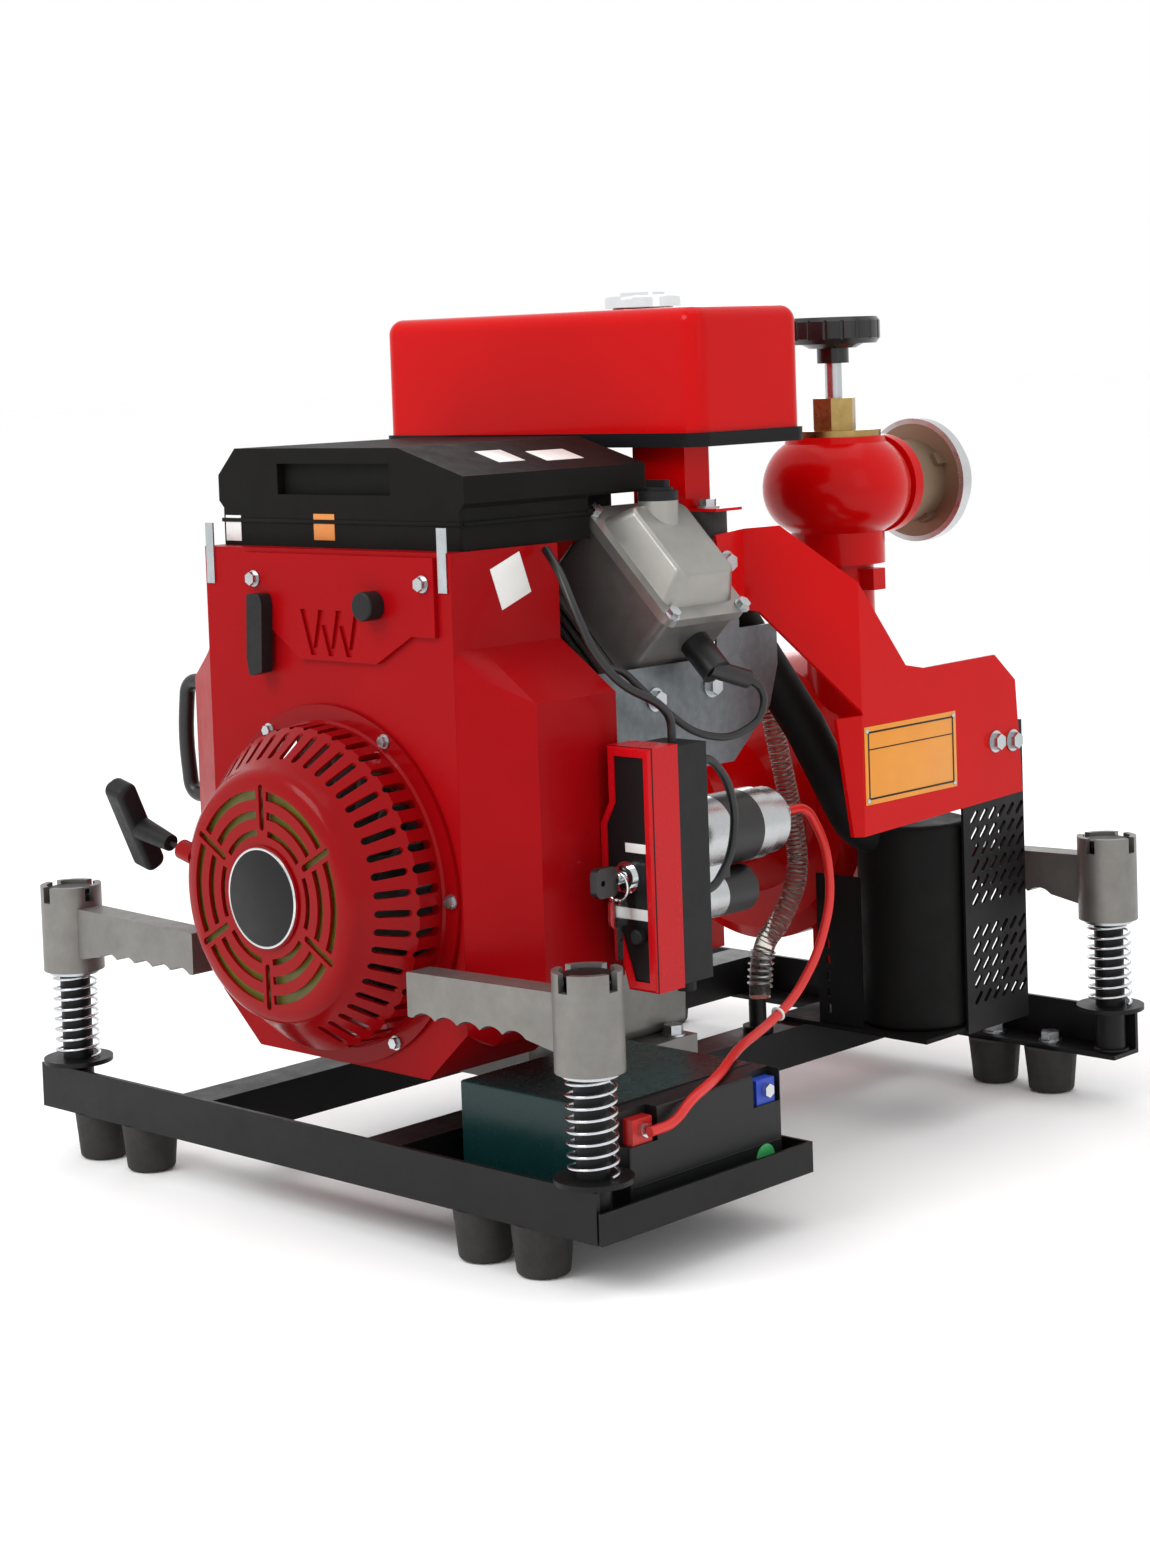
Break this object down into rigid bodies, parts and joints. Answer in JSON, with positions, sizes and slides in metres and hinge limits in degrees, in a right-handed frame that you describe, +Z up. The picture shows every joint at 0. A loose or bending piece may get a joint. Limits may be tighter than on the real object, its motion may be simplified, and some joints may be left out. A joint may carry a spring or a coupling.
{
  "type": "portable fire pump",
  "caption": "Portable fire pump: V-twin petrol engine with centrifugal pump, screw-down outlet valve, battery and fuel tank on a low frame with folding lift handles.",
  "frame": {"origin": "middle of the frame on the ground, below its four posts", "axes": "+X to the battery and control box side, +Y from the recoil starter towards the pump, +Z up"},
  "size_m": [0.703, 0.8349, 0.7583],
  "materials": {
    "black_powder_steel": "satin powder coat",
    "black_rubber": "matte",
    "cast_aluminium": "satin cast",
    "black_plastic": "fine grain",
    "zinc_sheet": "galvanised",
    "zinc_steel": "zinc plated",
    "bright_steel": "ground",
    "spring_steel": "bright plated",
    "chrome_plate": "bright plated",
    "red_enamel_gloss": "gloss enamel",
    "red_enamel_satin": "satin enamel",
    "red_enamel_cast": "gloss enamel over casting",
    "red_plastic": "moulded",
    "brass_bar": "machined",
    "black_heat_paint": "matte heat paint",
    "battery_case": "moulded",
    "clear_pvc": "clear, wire reinforced",
    "red_rubber": "satin"
  },
  "bodies": {
    "unit": {"air_filter_cover": "black_plastic", "battery": "battery_case", "battery_terminals": "brass_bar", "battery_tray": "black_powder_steel", "black_leads": "black_rubber", "bracket_panel": "red_enamel_gloss", "carburettor": "cast_aluminium", "clear_hose": "clear_pvc", "control_box_front": "red_plastic", "control_box_rear": "black_plastic", "crankcase": "cast_aluminium", "cylinders": "cast_aluminium", "fan_shroud": "red_enamel_satin", "front_crossbar": "black_powder_steel", "fuel_tank": "red_enamel_gloss", "heat_guard": "black_powder_steel", "left_rail": "black_powder_steel", "lock_barrel": "chrome_plate", "muffler": "black_heat_paint", "outlet_coupling": "cast_aluminium", "posts": "black_powder_steel", "pump_casing": "red_enamel_cast", "rear_crossbar": "black_powder_steel", "recoil_cover": "red_enamel_satin", "red_cable": "red_rubber", "right_rail": "black_powder_steel", "rocker_covers": "cast_aluminium", "rubber_mounts": "black_rubber", "side_baffles": "zinc_sheet", "spring_front_left": "spring_steel", "spring_front_right": "spring_steel", "spring_rear_left": "spring_steel", "spring_rear_right": "spring_steel", "starter_motor": "zinc_steel", "suction_inlet": "red_enamel_cast", "tank_bracket": "red_enamel_gloss", "valve_body": "red_enamel_cast", "valve_bonnet": "brass_bar", "zinc_fasteners": "zinc_steel"},
    "rotor": {"crankshaft": "bright_steel", "flywheel_fan": "cast_aluminium", "pump_impeller": "cast_aluminium"},
    "rope_grip": {"pull_handle": "black_plastic"},
    "rope_pulley": {"recoil_pulley": "black_plastic"},
    "choke": {"choke_knob": "black_plastic"},
    "throttle": {"throttle_lever": "black_plastic"},
    "filler_cap": {"fuel_cap": "chrome_plate"},
    "oil_filler_cap": {"oil_cap": "black_plastic"},
    "start_key": {"key": "black_plastic"},
    "breaker": {"breaker_button": "black_plastic"},
    "valve_lift": {"valve_disc": "brass_bar"},
    "valve_wheel": {"handwheel": "black_plastic"},
    "seat_front_left": {"spring_seat_front_left": "zinc_steel"},
    "lift_handle_front_left": {"handle_front_left": "cast_aluminium"},
    "seat_front_right": {"spring_seat_front_right": "zinc_steel"},
    "lift_handle_front_right": {"handle_front_right": "cast_aluminium"},
    "seat_rear_left": {"spring_seat_rear_left": "zinc_steel"},
    "lift_handle_rear_left": {"handle_rear_left": "cast_aluminium"},
    "seat_rear_right": {"spring_seat_rear_right": "zinc_steel"},
    "lift_handle_rear_right": {"handle_rear_right": "cast_aluminium"}
  },
  "joints": [
    {"name": "crankshaft_spin", "type": "hinge", "parent": "unit", "child": "rotor", "pos_m": [0, 0, 0.273], "axis": [0, 1, 0], "continuous": true},
    {"name": "rope_pull", "type": "slide", "parent": "unit", "child": "rope_grip", "axis": [-0.9724, 0, 0.2334], "range_m": [0, 0.08], "stiffness_N_per_m": 120, "springref_m": -0.1},
    {"name": "pulley_turn", "type": "hinge", "parent": "unit", "child": "rope_pulley", "pos_m": [0, -0.373, 0.273], "axis": [0, 1, 0], "range_deg": [-121, 0]},
    {"name": "choke_pull", "type": "slide", "parent": "unit", "child": "choke", "axis": [0, -1, 0], "range_m": [0, 0.012]},
    {"name": "throttle_turn", "type": "hinge", "parent": "unit", "child": "throttle", "pos_m": [-0.072, -0.32, 0.508], "axis": [0, 1, 0], "range_deg": [-20, 35]},
    {"name": "fuel_cap_turn", "type": "hinge", "parent": "unit", "child": "filler_cap", "pos_m": [0.07, 0.013, 0.75], "axis": [0, 0, 1], "range_deg": [0, 120]},
    {"name": "oil_cap_turn", "type": "hinge", "parent": "unit", "child": "oil_filler_cap", "pos_m": [0.176, -0.093, 0.585], "axis": [0, 0, 1], "range_deg": [0, 360]},
    {"name": "key_turn", "type": "hinge", "parent": "unit", "child": "start_key", "pos_m": [0.242, -0.24, 0.287], "axis": [0, 1, 0], "range_deg": [0, 90]},
    {"name": "breaker_press", "type": "slide", "parent": "unit", "child": "breaker", "axis": [0, 1, 0], "range_m": [0, 0.004], "stiffness_N_per_m": 500, "springref_m": -0.001},
    {"name": "valve_rise", "type": "slide", "parent": "unit", "child": "valve_lift", "axis": [0, 0, 1], "range_m": [0, 0.0201]},
    {"name": "valve_wheel_turn", "type": "hinge", "parent": "valve_lift", "child": "valve_wheel", "pos_m": [0.092, 0.253, 0.72], "axis": [0, 0, 1], "range_deg": [0, 1440]},
    {"name": "press_front_left", "type": "slide", "parent": "unit", "child": "seat_front_left", "axis": [0, 0, -1], "range_m": [0, 0.013], "stiffness_N_per_m": 3000, "springref_m": -0.005, "deforming": ["spring_front_left"]},
    {"name": "swing_front_left", "type": "hinge", "parent": "seat_front_left", "child": "lift_handle_front_left", "pos_m": [-0.32, -0.35, 0.2], "axis": [0, 0, 1], "range_deg": [-180, 0]},
    {"name": "press_front_right", "type": "slide", "parent": "unit", "child": "seat_front_right", "axis": [0, 0, -1], "range_m": [0, 0.013], "stiffness_N_per_m": 3000, "springref_m": -0.005, "deforming": ["spring_front_right"]},
    {"name": "swing_front_right", "type": "hinge", "parent": "seat_front_right", "child": "lift_handle_front_right", "pos_m": [0.32, -0.35, 0.2], "axis": [0, 0, 1], "range_deg": [0, 180]},
    {"name": "press_rear_left", "type": "slide", "parent": "unit", "child": "seat_rear_left", "axis": [0, 0, -1], "range_m": [0, 0.013], "stiffness_N_per_m": 3000, "springref_m": -0.005, "deforming": ["spring_rear_left"]},
    {"name": "swing_rear_left", "type": "hinge", "parent": "seat_rear_left", "child": "lift_handle_rear_left", "pos_m": [-0.32, 0.35, 0.2], "axis": [0, 0, 1], "range_deg": [0, 180]},
    {"name": "press_rear_right", "type": "slide", "parent": "unit", "child": "seat_rear_right", "axis": [0, 0, -1], "range_m": [0, 0.013], "stiffness_N_per_m": 3000, "springref_m": -0.005, "deforming": ["spring_rear_right"]},
    {"name": "swing_rear_right", "type": "hinge", "parent": "seat_rear_right", "child": "lift_handle_rear_right", "pos_m": [0.32, 0.35, 0.2], "axis": [0, 0, 1], "range_deg": [-180, 0]}
  ],
  "couplings": [
    {"joint": "pulley_turn", "follows": "rope_pull", "rad_per_m": -26.3},
    {"joint": "valve_rise", "follows": "valve_wheel_turn", "m_per_rad": 0.00079577}
  ]
}
